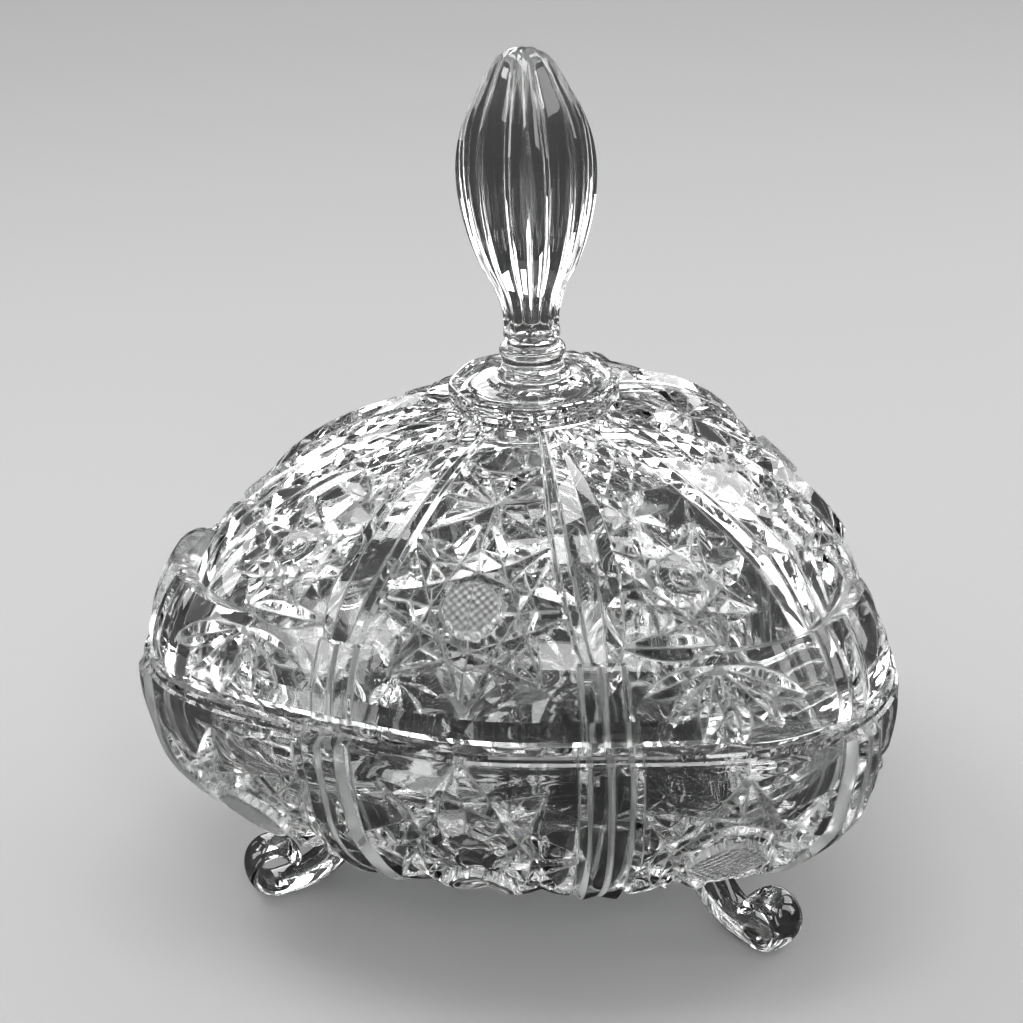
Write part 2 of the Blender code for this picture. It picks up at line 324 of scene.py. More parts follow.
# %% The lid's pattern
PLATE_ARC = 79.7
SIDE_RIB = [(-1.0, 0.0), (-0.28, 2.0), (0.40, 0.25), (0.50, 0.6), (0.86, 0.6), (1.0, 0.0)]
FLAT_RIB = [(-1.0, 0.0), (-0.84, 0.7), (-0.10, 0.7), (0.0, 0.3), (0.10, 0.7), (0.84, 0.7),
            (1.0, 0.0)]
CORNER_RIB = [(-1.0, 0.0), (-0.5, 1.6), (0.0, 0.2), (0.5, 1.6), (1.0, 0.0)]
SIDE_RIB_WIDTHS = ([17.0, 20.0, 27.0, 38.0, 50.0, 62.0, PLATE_ARC],
                   [3.6, 4.6, 5.6, 6.2, 5.6, 4.2, 2.0])
FLAT_RIB_TOP = 17.5
LID_RIB_WIDTHS = ([0.0, 15.0, 32.0, 48.0, 62.0, PLATE_ARC], [4.4, 4.9, 5.4, 5.0, 3.9, 2.1])
EAR_TOP = 18.8


def ears(sheet, top, rise):
    """Two scallops beside each corner: rise x the height of a half circle 17 degrees wide."""
    share = (np.degrees(sheet.q) - 8.6) / 8.6
    scallop = np.sqrt(np.clip(1.0 - share ** 2, 0.0, 1.0))
    rounded = 0.45 + 0.55 * np.sqrt(np.clip(sheet.arc / 4.5, 0.0, 1.0))
    sheet.crease(0 * sheet.arc, top - sheet.arc, (scallop > 0) & (np.abs(sheet.arc - top) < 1.0))
    return np.where(sheet.arc <= top, rise * scallop * rounded, 0.0)


def lid_pattern(sheet):
    """Cut the lid's pattern into a sheet, from the plain wall to the ribs."""
    crossed_star(sheet, 60.0, 28.6, 22.5, 3.1, 0.76, turn=np.pi / 2)
    button(sheet, 60.0, 28.6, 5.7, 1.1, matte=1.0)
    sunk_star(sheet, 60.0, 57.0, 16.5, 7.4, 3.1, missing=2)
    crossed_star(sheet, 18.2, 34.5, 15.0, 2.7, 0.88, turn=np.radians(-10.0))
    button(sheet, 18.2, 34.5, 4.6, 1.0, dimple=2.3)
    sunk_star(sheet, 21.5, 51.4, 8.0, 3.8, 2.2)
    leaf(sheet, 24.0, 20.4, 18.0, 5.6, 2.5)
    fan(sheet, 18.5, 16.0, 15.5, 4.8, 2.2, (-22.0, -48.0, -74.0, -100.0, -126.0, -152.0))
    hobnails(sheet, 56.5, PLATE_ARC - 1.0, 3.0, 33.0, 5.0, 7.2, 0.9, 0.55)
    rib(sheet, 36.0, SIDE_RIB_WIDTHS, SIDE_RIB, low=FLAT_RIB_TOP)
    rib(sheet, 36.0, ([0.0], [4.6]), FLAT_RIB, high=FLAT_RIB_TOP)
    rib(sheet, 0.0, LID_RIB_WIDTHS, CORNER_RIB)
    sheet.height = np.where(sheet.arc < 1.6, np.maximum(sheet.height, -0.2), sheet.height)
    sheet.height = sheet.height + ears(sheet, EAR_TOP, 3.4)
    corner = np.clip(1.0 - (np.degrees(sheet.q) / 20.0) ** 2, 0.0, 1.0)
    above = np.clip((34.0 - sheet.arc) / (34.0 - EAR_TOP), 0.0, 1.0) * (sheet.arc > EAR_TOP)
    sheet.height = sheet.height - 3.3 * corner * above
    under_plate = np.clip((PLATE_ARC - sheet.arc) / 4.0, 0.0, 1.0)
    sheet.height = sheet.height * under_plate


# %% [markdown]
# The dome is half of an ellipse turned round the axis. The wall is divided by
# its length from the rim, not by height, so the cells stay even over the curve.

# %% The dome's plain surface
DOME_RISE = 46.5
DOME_RADIUS = 73.8
_share = np.linspace(0.0, 1.0, 4001)
_dome_r = _share * DOME_RADIUS
_dome_z = SEAT_Z + DOME_RISE * np.sqrt(1.0 - _share ** 2)
_dome_length = np.concatenate([[0.0], np.cumsum(np.hypot(np.diff(_dome_r), np.diff(_dome_z)))])
DOME_LENGTH = _dome_length[-1]
print("dome, rim to middle:", round(DOME_LENGTH, 1), "mm")


def dome_line(arc):
    """Return the mean radius and height at a length up the dome from its rim."""
    back = DOME_LENGTH - arc
    return np.interp(back, _dome_length, _dome_r), np.interp(back, _dome_length, _dome_z)


BOWL_LINE = np.array([
    (76.2, 64.5), (77.3, 62.9), (77.7, 59.0), (76.6, 50.0), (74.4, 40.0),
    (69.6, 32.0), (61.6, 24.8), (51.6, 18.2), (45.0, 14.5)])


def smooth_line(points, count):
    """Carry a smooth line through points: cubics whose slopes are the mean of the neighbours'."""
    points = np.asarray(points, dtype=float)
    length = np.concatenate([[0.0], np.cumsum(np.hypot(*np.diff(points, axis=0).T))])
    slope = np.gradient(points, length, axis=0)
    where = np.linspace(0.0, length[-1], count)
    piece = np.clip(np.searchsorted(length, where, side="right") - 1, 0, len(points) - 2)
    wide = (length[piece + 1] - length[piece])[:, None]
    t = ((where - length[piece])[:, None]) / wide
    start, end = points[piece], points[piece + 1]
    lean_in, lean_out = slope[piece] * wide, slope[piece + 1] * wide
    return ((2 * t ** 3 - 3 * t ** 2 + 1) * start + (t ** 3 - 2 * t ** 2 + t) * lean_in
            + (-2 * t ** 3 + 3 * t ** 2) * end + (t ** 3 - t ** 2) * lean_out)


_bowl = smooth_line(BOWL_LINE, 2001)
_bowl_length = np.concatenate([[0.0], np.cumsum(np.hypot(*np.diff(_bowl, axis=0).T))])
BOWL_LENGTH = _bowl_length[-1]
print("bowl wall, rim to floor:", round(BOWL_LENGTH, 1), "mm")


def bowl_line(arc):
    """Return the mean radius and height at a length down the bowl's wall from its rim."""
    return np.interp(arc, _bowl_length, _bowl[:, 0]), np.interp(arc, _bowl_length, _bowl[:, 1])


def wall_point(line, turn, arc):
    """Place points of a wall: its line's radius pressed into the plan, at its height."""
    radius, height = line(arc)
    out = plan(turn, radius)
    return np.stack([out * np.cos(turn), out * np.sin(turn), height], axis=-1)


def wall_normal(line, turn, arc, hand):
    """Return the wall's outward direction, from two small steps along it."""
    step = 0.05
    round_it = wall_point(line, turn + 0.001, arc) - wall_point(line, turn - 0.001, arc)
    up_it = wall_point(line, turn, arc + step) - wall_point(line, turn, arc - step)
    out = hand * np.cross(round_it, up_it)
    return out / np.linalg.norm(out, axis=-1, keepdims=True)


def carved_wall(line, pattern, low, high, rows, hand):
    """Return a carved wall's points and its triangles' diagonals, as (rows, FINE) arrays.

    The grid is pulled on to the creases, then each point moves out by the
    pattern's height. A cell is split along the diagonal that lies nearer to
    the pattern's height at the cell's middle.
    """
    arcs = np.linspace(low, high, rows)
    turns = 2 * np.pi * np.arange(FINE) / FINE
    arc, turn = np.meshgrid(arcs, turns, indexing="ij")
    radius = plan(turn, line(arc)[0])
    cell = (radius * 2 * np.pi / FINE, np.full_like(arc, (high - low) / (rows - 1)))
    sheet = Sheet(turn, arc, radius, cell)
    pattern(sheet)
    pull_x = 0.96 * sheet.pull_x * sheet.side
    pull_y = 0.96 * sheet.pull_y
    pull_y[0] = pull_y[-1] = 0.0
    turn = turn + pull_x / radius
    arc = arc + pull_y
    again = Sheet(turn, arc, plan(turn, line(arc)[0]), cell)
    pattern(again)
    height = again.height
    next_turn = np.roll(turn, -1, axis=1)
    next_turn[:, -1] += 2 * np.pi
    middle_turn = 0.25 * (turn[:-1] + turn[1:] + next_turn[:-1] + next_turn[1:])
    next_arc = np.roll(arc, -1, axis=1)
    middle_arc = 0.25 * (arc[:-1] + arc[1:] + next_arc[:-1] + next_arc[1:])
    middle = Sheet(middle_turn, middle_arc, plan(middle_turn, line(middle_arc)[0]),
                   (cell[0][:-1], cell[1][:-1]))
    pattern(middle)
    next_height = np.roll(height, -1, axis=1)
    falling = 0.5 * (height[:-1] + next_height[1:])
    rising = 0.5 * (height[1:] + next_height[:-1])
    use_falling = np.abs(falling - middle.height) < np.abs(rising - middle.height)
    points = wall_point(line, turn, arc) + height[..., None] * wall_normal(line, turn, arc, hand)
    marks = {"edge": np.clip(1.0 - again.best / 0.2, 0.0, 1.0), "matte": again.matte,
             "place": again.place}
    return points, use_falling, marks


# %% [markdown]
# Every body of glass is built as a stack of rings from its top middle to its
# bottom middle. Plain rings have few points and carved ones have many, so a
# ring of five-to-one triangles joins the two, where nobody looks.

# %% Stacking rings into one closed body
def turned_rings(line, flutes=0.0, count=8, columns=COARSE, pressed=False, sides=0.0, ridge=0.0):
    """Turn a line of (radius, height) into rings, with flutes, sides or the plan pressed in."""
    turns = 2 * np.pi * np.arange(columns) / columns
    line = np.asarray(line, dtype=float)
    turn = np.broadcast_to(turns, (len(line), columns))
    radius = np.broadcast_to(line[:, :1], turn.shape)
    height = np.broadcast_to(line[:, 1:], turn.shape)
    if pressed:
        radius = plan(turn, radius)
    radius = radius * (1.0 - flutes * np.abs(np.sin(0.5 * count * (turn - ridge))) ** 0.8)
    radius = radius * (1.0 + sides * np.cos(count * (turn - ridge)))
    return np.stack([radius * np.cos(turn), radius * np.sin(turn), height], axis=-1)


def band(first, second, columns, falling=None):
    """Return triangles between neighbouring rings, given each ring's first index."""
    a = np.arange(columns)
    b = (a + 1) % columns
    top_a, top_b, low_a, low_b = first + a, first + b, second + a, second + b
    if falling is None:
        falling = np.ones(columns, dtype=bool)
    one = np.where(falling[:, None], np.stack([top_a, low_a, low_b], 1),
                   np.stack([top_a, low_a, top_b], 1))
    two = np.where(falling[:, None], np.stack([top_a, low_b, top_b], 1),
                   np.stack([top_b, low_a, low_b], 1))
    return np.concatenate([one, two])


def joining_band(first, many, second, few):
    """Return triangles between a ring of many points and one of few, or the other way."""
    fine_first = many > few
    big, small = (many, few) if fine_first else (few, many)
    big_start, small_start = (first, second) if fine_first else (second, first)
    ratio = big // small
    j = np.arange(small)
    half = ratio // 2
    faces = []
    for k in range(ratio):
        near = big_start + (j * ratio + k) % big
        far = big_start + (j * ratio + k + 1) % big
        corner = small_start + (j if k < half else (j + 1) % small)
        faces.append(np.stack([near, corner, far], 1))
        if k == half:
            faces.append(np.stack([near, small_start + j, small_start + (j + 1) % small], 1))
    faces = np.concatenate(faces)
    return faces if fine_first else faces[:, ::-1]


def stack(blocks):
    """Join blocks of rings into one closed body: poles at both ends, rings between.

    A block is (rings, diagonals or None); a pole is a single point.
    """
    points, faces = [], []
    count = 0
    last_start, last_columns = None, None
    for rings, falling in blocks:
        rings = np.asarray(rings, dtype=float)
        if rings.ndim == 1:
            points.append(rings[None, :])
            if last_start is not None:
                a = last_start + np.arange(last_columns)
                b = last_start + (np.arange(last_columns) + 1) % last_columns
                faces.append(np.stack([a, np.full(last_columns, count), b], 1))
            last_start, last_columns = count, 1
            count += 1
            continue
        rows, columns = rings.shape[:2]
        points.append(rings.reshape(-1, 3))
        if last_columns == 1:
            a = count + np.arange(columns)
            b = count + (np.arange(columns) + 1) % columns
            faces.append(np.stack([np.full(columns, last_start), a, b], 1))
        elif last_columns == columns:
            faces.append(band(last_start, count, columns))
        elif last_columns is not None:
            faces.append(joining_band(last_start, last_columns, count, columns))
        for row in range(rows - 1):
            pick = None if falling is None else falling[row]
            faces.append(band(count + row * columns, count + (row + 1) * columns, columns, pick))
        last_start, last_columns = count + (rows - 1) * columns, columns
        count += rows * columns
    return np.concatenate(points), np.concatenate(faces)


def glass_body(name, points, faces, crease_degrees, offset=AXIS):
    """Make a mesh object from points in millimetres and triangles, with crisp creases."""
    places = points.copy()
    places[:, 0] += offset[0]
    places[:, 1] += offset[1]
    places *= MM
    mesh = bpy.data.meshes.new(name)
    mesh.vertices.add(len(places))
    mesh.vertices.foreach_set("co", places.ravel())
    mesh.loops.add(faces.size)
    mesh.loops.foreach_set("vertex_index", faces.ravel().astype(np.int32))
    mesh.polygons.add(len(faces))
    mesh.polygons.foreach_set("loop_start", np.arange(0, faces.size, 3, dtype=np.int32))
    mesh.update(calc_edges=True)
    mesh.validate()
    mesh.shade_smooth()
    mesh.set_sharp_from_angle(angle=np.radians(crease_degrees))
    item = bpy.data.objects.new(name, mesh)
    bpy.context.scene.collection.objects.link(item)
    print(name, len(places), "points", len(mesh.polygons), "triangles")
    return item


def keep_marks(item, marks, first):
    """Store how near a crease, how matt, and where on its motif each carved point is."""
    count = len(item.data.vertices)
    for name in ("edge", "matte"):
        values = np.zeros(count, dtype=np.float32)
        values[first:first + marks[name].size] = marks[name].ravel()
        item.data.attributes.new(name, "FLOAT", "POINT").data.foreach_set("value", values)
    places = np.zeros((count, 3), dtype=np.float32)
    flat = marks["place"].reshape(-1, 3)
    places[first:first + len(flat)] = flat
    store = item.data.attributes.new("place", "FLOAT_VECTOR", "POINT")
    store.data.foreach_set("vector", places.ravel())


# %% [markdown]
# The finial is a teardrop with eight hollow flutes that meet in raised edges.
# The neck below it has two turned steps, and the plate is a thick disc whose
# edge is very softly eight-sided, with a thin lip under it.

# %% The lid, from the tip of the finial to the inside of the dome
finial_foot = finial_low[2]
finial_height = finial_high[2] - finial_low[2]
finial_radius = 0.5 * (finial_high[0] - finial_low[0])
FINIAL_LINE = [
    (0.06, 1.000), (0.22, 0.993), (0.37, 0.970), (0.50, 0.928), (0.61, 0.878), (0.81, 0.785),
    (0.945, 0.690), (1.00, 0.600), (0.995, 0.507), (0.94, 0.415), (0.845, 0.322), (0.70, 0.228),
    (0.51, 0.135), (0.415, 0.050), (0.40, 0.000)]
RIDGE_TURN = np.radians(15.0)
finial_line = [(finial_radius * share, finial_foot + finial_height * rise)
               for share, rise in FINIAL_LINE]
finial_rings = turned_rings(smooth_line(finial_line, 66), flutes=0.26, ridge=RIDGE_TURN)

neck_top = neck_high[2]
neck_line = [
    (5.50, neck_top + 0.10), (5.95, neck_top - 0.30), (6.05, neck_top - 0.9),
    (5.95, neck_top - 1.9), (5.45, neck_top - 2.3), (5.30, neck_top - 2.9), (5.45, neck_top - 3.5),
    (6.40, neck_top - 3.9), (6.95, neck_top - 4.5), (7.05, neck_top - 5.6), (6.85, neck_top - 6.4),
    (6.60, neck_top - 7.4), (6.80, neck_top - 8.8), (7.60, neck_top - 10.2),
    (9.40, neck_top - 11.0)]
neck_rings = turned_rings(smooth_line(neck_line, 38), ridge=RIDGE_TURN)

plate_top = plate_high[2]
plate_line = [
    (10.2, plate_top + 0.05), (12.5, plate_top - 0.35), (14.8, plate_top - 0.40),
    (16.8, plate_top - 0.05), (17.6, plate_top - 0.05), (18.0, plate_top - 0.45),
    (18.1, plate_top - 1.0), (18.1, plate_top - 2.4), (18.1, plate_top - 3.8),
    (18.0, plate_top - 4.4), (17.4, plate_top - 4.7), (17.1, plate_top - 4.85),
    (17.3, plate_top - 5.0), (17.2, plate_top - 5.15), (16.9, plate_top - 5.25)]
plate_rings = turned_rings(smooth_line(plate_line, 30), sides=0.016, ridge=RIDGE_TURN)

DOME_ROWS = 103
dome_points, dome_diagonals, dome_marks = carved_wall(
    dome_line, lid_pattern, PLATE_ARC, 0.4, DOME_ROWS, 1.0)

flange_out = 69.0
inner_turn = np.sin(0.5 * np.pi * np.linspace(0.97, 0.0, 26))[:, None]
share = 0.22 + 0.78 * inner_turn
in_radius = share * DOME_RADIUS
in_height = SEAT_Z + DOME_RISE * np.sqrt(1 - np.minimum(share, 1) ** 2)
LID_WALL = (4.8, 4.7)
inside_line = np.concatenate([in_radius - LID_WALL[0] * inner_turn,
                              in_height - LID_WALL[1] * (1 - 0.35 * inner_turn)], 1)
rim_line = [(73.2, SEAT_Z), (69.6, SEAT_Z)]
flange_line = [(flange_out, SEAT_Z - 0.3), (flange_out, SEAT_Z - 2.6),
               (flange_out - 0.4, SEAT_Z - 3.0),
               (flange_out - 1.8, SEAT_Z - 3.0), (flange_out - 2.2, SEAT_Z - 2.6),
               (flange_out - 2.2, SEAT_Z + 3.0)]

lid_points, lid_faces = stack([
    (np.array([0.0, 0.0, finial_high[2]]), None),
    (finial_rings, None),
    (neck_rings, None),
    (plate_rings, None),
    (dome_points, dome_diagonals),
    (turned_rings(rim_line, columns=FINE, pressed=True), None),
    (turned_rings(flange_line, pressed=True), None),
    (turned_rings(inside_line, pressed=True), None),
    (np.array([0.0, 0.0, inside_line[-1, 1]]), None)])
lid = glass_body("lid_glass", lid_points, lid_faces, 14.0)
keep_marks(lid, dome_marks, 1 + sum(rings.shape[0] * COARSE
                                    for rings in (finial_rings, neck_rings, plate_rings)))

# %% [markdown]
# The bowl's wall carries the same ribs, with a crossed star under each great
# star and a large matt button low on the wall on each side of a corner. Two
# thin steps run round below the rim.

# %% The bowl's pattern
SCALLOP_DEGREES = 12.0
BOWL_RIB_WIDTHS = ([0.0, 30.0, 66.0], [6.2, 6.4, 5.6])
BOWL_RIB = [(-1.0, 0.0), (-0.70, -1.3), (-0.60, 1.2), (-0.08, 1.5), (0.0, 0.5),
            (0.08, 1.5), (0.60, 1.2), (0.70, -1.3), (1.0, 0.0)]


def bowl_pattern(sheet):
    """Cut the bowl's pattern into a sheet. Arc runs down from the rim, so stars hang."""
    crossed_star(sheet, 60.0, 26.0, 25.0, 3.0, 0.80, turn=0.0)
    button(sheet, 60.0, 43.0, 7.0, 1.8, dimple=5.8)
    crossed_star(sheet, 17.5, 31.0, 26.0, 3.2, 0.75, turn=0.0)
    button(sheet, 17.5, 31.0, 7.4, 2.2, matte=0.5)
    for degrees in (17.5, 60.0):
        fan(sheet, degrees, 50.0, 15.0, 5.6, 2.8, (20.0, 55.0, 90.0, 125.0, 160.0))
    rib(sheet, 36.0, BOWL_RIB_WIDTHS, BOWL_RIB)
    rib(sheet, 0.0, BOWL_RIB_WIDTHS, BOWL_RIB)
    scallop_turn = (np.degrees(sheet.q) / SCALLOP_DEGREES) % 1.0
    belly = 1.0 - (2.0 * scallop_turn - 1.0) ** 2
    sheet.height = sheet.height + 1.6 * belly * np.exp(-((sheet.arc - 45.0) / 8.0) ** 2)
    end = np.clip((BOWL_LENGTH - sheet.arc) / 3.0, 0.0, 1.0)
    sheet.height = sheet.height * end
    step = np.clip((sheet.arc - 2.6) / 0.5, 0.0, 1.0)
    sheet.height = np.where(sheet.arc < 3.1, 0.3 + (sheet.height - 0.3) * step, sheet.height)
    sheet.height = sheet.height - 0.45 * np.exp(-((sheet.arc - 1.5) / 0.35) ** 2)
    fall = np.clip((30.0 - sheet.arc) / 12.0, 0.0, 1.0)
    share = (np.degrees(sheet.q) - 8.6) / 8.6
    scallop = np.sqrt(np.clip(1.0 - share ** 2, 0.0, 1.0))
    sheet.height = sheet.height + 0.6 * scallop * fall * np.clip(sheet.arc / 1.0, 0.3, 1.0)


# %% [markdown]
# The inside of the bowl is plain, so that it can be wiped clean. Its floor is
# flat and thick, and its line keeps well clear of the deepest cuts outside:
# a cut that reached the inside would leave a hole.

# %% The bowl, from the middle of its inside to the middle of its underside
BOWL_ROWS = 100
bowl_points, bowl_diagonals, bowl_marks = carved_wall(
    bowl_line, bowl_pattern, 0.2, BOWL_LENGTH, BOWL_ROWS, -1.0)
INNER_FLOOR = 21.5
inner_points = smooth_line([
    (12.0, INNER_FLOOR), (30.0, INNER_FLOOR), (42.0, INNER_FLOOR), (45.5, INNER_FLOOR + 0.5),
    (53.0, 27.0), (60.5, 34.0), (66.0, 43.0), (69.0, 50.0),
    (70.0, 55.0), (70.0, 59.0), (70.0, RIM_Z - 0.4)], 48)
bowl_lip = [(70.4, RIM_Z), (75.5, RIM_Z)]
foot_line = [(44.4, FLOOR_Z), (20.0, FLOOR_Z + 0.3)]
bowl_vertices, bowl_faces = stack([
    (np.array([0.0, 0.0, INNER_FLOOR]), None),
    (turned_rings(inner_points, pressed=True), None),
    (turned_rings(bowl_lip, columns=FINE, pressed=True), None),
    (bowl_points, bowl_diagonals),
    (turned_rings(foot_line, pressed=True), None),
    (np.array([0.0, 0.0, FLOOR_Z + 0.3]), None)])
bowl = glass_body("bowl_glass", bowl_vertices, bowl_faces, 14.0)
keep_marks(bowl, bowl_marks, 1 + len(inner_points) * COARSE + len(bowl_lip) * FINE)

# %% [markdown]
# Each foot is a ribbon of glass that leaves the bowl's underside, sweeps out
# and down to the table, and rolls up to just short of its own leg. It is a
# rounded cross-section carried along a flat path.

# %% The scroll feet
FOOT_OUT = 65.2
SCROLL = 6.8
FOOT_SECTION = 40


def scroll_path():
    """Return the path's points (out, up) and thickness: a bent leg, then a closing spiral."""
    spiral_turn = np.radians(np.linspace(252.0, 252.0 + 284.0, 84))
    share = np.linspace(0.0, 1.0, 84)
    radius = (SCROLL - 1.7) * (1.0 - 0.10 * share ** 2)
    spiral = np.stack([FOOT_OUT + radius * np.cos(spiral_turn),
                       SCROLL + radius * np.sin(spiral_turn)], 1)
    start = np.array([46.6, FLOOR_Z + 1.2])
    pull = np.array([50.5, 3.4])
    t = np.linspace(0.0, 1.0, 30)[:-1, None]
    leg = (1 - t) ** 2 * start + 2 * (1 - t) * t * pull + t ** 2 * spiral[0]
    thick = np.concatenate([np.linspace(8.6, 3.6, 29), 3.5 - 0.3 * share])
    return np.concatenate([leg, spiral]), thick


def make_foot(name, turn):
    """Carry a rounded section along the path: its half sizes are the width and the thickness."""
    path, thick = scroll_path()
    travel = np.gradient(path, axis=0)
    travel /= np.linalg.norm(travel, axis=1, keepdims=True)
    normal = np.stack([-travel[:, 1], travel[:, 0]], 1)
    count = len(path)
    end = np.linspace(0.0, 1.0, count)
    close = np.sqrt(np.clip(1.0 - ((end - 0.955) / 0.045).clip(0, 1) ** 2, 0.0, 1.0))
    swell = 1.0 + 0.10 * np.exp(-((end - 0.95) / 0.03) ** 2)
    half_thick = 0.5 * thick * swell * close
    half_wide = 0.5 * 9.8 * (0.35 + 0.65 * close)
    around = 2 * np.pi * np.arange(FOOT_SECTION) / FOOT_SECTION
    rounded = 0.95
    side = np.sign(np.cos(around)) * np.abs(np.cos(around)) ** rounded
    up = np.sign(np.sin(around)) * np.abs(np.sin(around)) ** rounded
    across = half_wide[:, None] * side
    lift = half_thick[:, None] * up
    out = path[:, :1] + lift * normal[:, :1]
    height = path[:, 1:] + lift * normal[:, 1:]
    x = out * np.cos(turn) - across * np.sin(turn)
    y = out * np.sin(turn) + across * np.cos(turn)
    rings = np.stack([x, y, height], -1)[:-1]
    first = rings[0].mean(axis=0)
    last = np.array([path[-1, 0] * np.cos(turn), path[-1, 0] * np.sin(turn), path[-1, 1]])
    points, faces = stack([(first, None), (rings, None), (last, None)])
    faces = faces[:, ::-1]
    points[:, 2] = np.minimum(points[:, 2], FLOOR_Z - 0.3)
    return glass_body(name, points, faces, 50.0)


feet = [make_foot("foot_glass_" + word, CORNER + number * 2 * np.pi / 3)
        for number, word in enumerate(("back", "left", "right"))]

# %% [markdown]
# Pressed glass is clear and colourless, but it is never perfect. The mould
# leaves a faint ripple, hands leave dull patches, creases wear, and the round
# buttons are matt with fine crossed lines. One node group makes all four, and
# every glass places it with its own amounts. Only the crossed lines and the
# ripple are bump: every facet is in the mesh.

# %% The finish that every glass shares
def sum_node(nodes, links, first, second, kind="ADD"):
    """Combine two sockets, or a socket and a number, with a Math node."""
    node = nodes.new("ShaderNodeMath")
    node.operation = kind
    for socket, value in zip(node.inputs, (first, second)):
        if isinstance(value, (int, float)):
            socket.default_value = value
        else:
            links.new(value, socket)
    return node.outputs[0]


MATT_ROUGHNESS = 0.45
HATCH_RATE = 3.4


def pressed_finish():
    """Build the group: smears and worn edges for roughness, ripple and hatching for bump."""
    group = bpy.data.node_groups.new("pressed_finish", "ShaderNodeTree")
    face = group.interface
    for label, value in (("Clear Roughness", 0.0), ("Smear Roughness", 0.06), ("Smear Size", 45.0),
                         ("Edge", 0.0), ("Edge Roughness", 0.3), ("Matte", 0.0),
                         ("Ripple Amount", 0.05)):
        socket = face.new_socket(name=label, in_out="INPUT", socket_type="NodeSocketFloat")
        socket.default_value = value
    face.new_socket(name="Place", in_out="INPUT", socket_type="NodeSocketVector")
    for label, kind in (("Roughness", "NodeSocketFloat"), ("Tint", "NodeSocketColor"),
                        ("Height", "NodeSocketFloat")):
        face.new_socket(name=label, in_out="OUTPUT", socket_type=kind)
    nodes, links = group.nodes, group.links
    entry = nodes.new("NodeGroupInput")
    leave = nodes.new("NodeGroupOutput")
    spot = nodes.new("ShaderNodeTexCoord")
    smear = nodes.new("ShaderNodeTexNoise")
    smear.inputs["Detail"].default_value = 5.0
    smear.inputs["Roughness"].default_value = 0.62
    ramp = nodes.new("ShaderNodeMapRange")
    ramp.inputs["From Min"].default_value = 0.50
    ramp.inputs["From Max"].default_value = 0.78
    links.new(spot.outputs["Object"], smear.inputs["Vector"])
    links.new(entry.outputs["Smear Size"], smear.inputs["Scale"])
    links.new(smear.outputs["Fac"], ramp.inputs["Value"])
    links.new(entry.outputs["Clear Roughness"], ramp.inputs["To Min"])
    links.new(entry.outputs["Smear Roughness"], ramp.inputs["To Max"])
    worn = sum_node(nodes, links, entry.outputs["Edge"], entry.outputs["Edge Roughness"],
                    "MULTIPLY")
    dull = sum_node(nodes, links, entry.outputs["Matte"], MATT_ROUGHNESS, "MULTIPLY")
    rough = sum_node(nodes, links, ramp.outputs["Result"], worn)
    rough = sum_node(nodes, links, rough, dull)
    links.new(rough, leave.inputs["Roughness"])
    tint = nodes.new("ShaderNodeValToRGB")
    tint.color_ramp.elements[0].color = (1.0, 1.0, 1.0, 1)
    tint.color_ramp.elements[1].color = (0.94, 0.95, 0.945, 1)
    links.new(smear.outputs["Fac"], tint.inputs["Fac"])
    links.new(tint.outputs["Color"], leave.inputs["Tint"])
    ripple = nodes.new("ShaderNodeTexNoise")
    ripple.inputs["Scale"].default_value = 160.0
    ripple.inputs["Detail"].default_value = 2.0
    links.new(spot.outputs["Object"], ripple.inputs["Vector"])
    wavy = sum_node(nodes, links, ripple.outputs["Fac"], entry.outputs["Ripple Amount"],
                    "MULTIPLY")
    parts = nodes.new("ShaderNodeSeparateXYZ")
    links.new(entry.outputs["Place"], parts.inputs[0])
    hatch = None
    for kind in ("ADD", "SUBTRACT"):
        across = sum_node(nodes, links, parts.outputs[0], parts.outputs[1], kind)
        turns = sum_node(nodes, links, across, HATCH_RATE, "MULTIPLY")
        wave = sum_node(nodes, links, turns, 0.0, "SINE")
        hatch = wave if hatch is None else sum_node(nodes, links, hatch, wave)
    hatch = sum_node(nodes, links, hatch, entry.outputs["Matte"], "MULTIPLY")
    links.new(sum_node(nodes, links, wavy, hatch), leave.inputs["Height"])
    return group


FINISH = pressed_finish()


def clear_glass(name, smear, ripple, edge):
    """Return a colourless glass whose roughness, tint and bump come from the shared finish."""
    material = bpy.data.materials.new(name)
    material.use_nodes = True
    nodes, links = material.node_tree.nodes, material.node_tree.links
    shader = nodes["Principled BSDF"]
    shader.inputs["Transmission Weight"].default_value = 1.0
    shader.inputs["Metallic"].default_value = 0.0
    shader.inputs["IOR"].default_value = 1.52
    finish = nodes.new("ShaderNodeGroup")
    finish.node_tree = FINISH
    finish.inputs["Smear Roughness"].default_value = smear
    finish.inputs["Edge Roughness"].default_value = edge
    finish.inputs["Ripple Amount"].default_value = ripple
    for label, mark, output in (("Edge", "edge", "Fac"), ("Matte", "matte", "Fac"),
                                ("Place", "place", "Vector")):
        attribute = nodes.new("ShaderNodeAttribute")
        attribute.attribute_name = mark
        links.new(attribute.outputs[output], finish.inputs[label])
    bump = nodes.new("ShaderNodeBump")
    bump.inputs["Strength"].default_value = 0.6
    bump.inputs["Distance"].default_value = 0.00025
    links.new(finish.outputs["Roughness"], shader.inputs["Roughness"])
    links.new(finish.outputs["Tint"], shader.inputs["Base Color"])
    links.new(finish.outputs["Height"], bump.inputs["Height"])
    links.new(bump.outputs["Normal"], shader.inputs["Normal"])
    return material


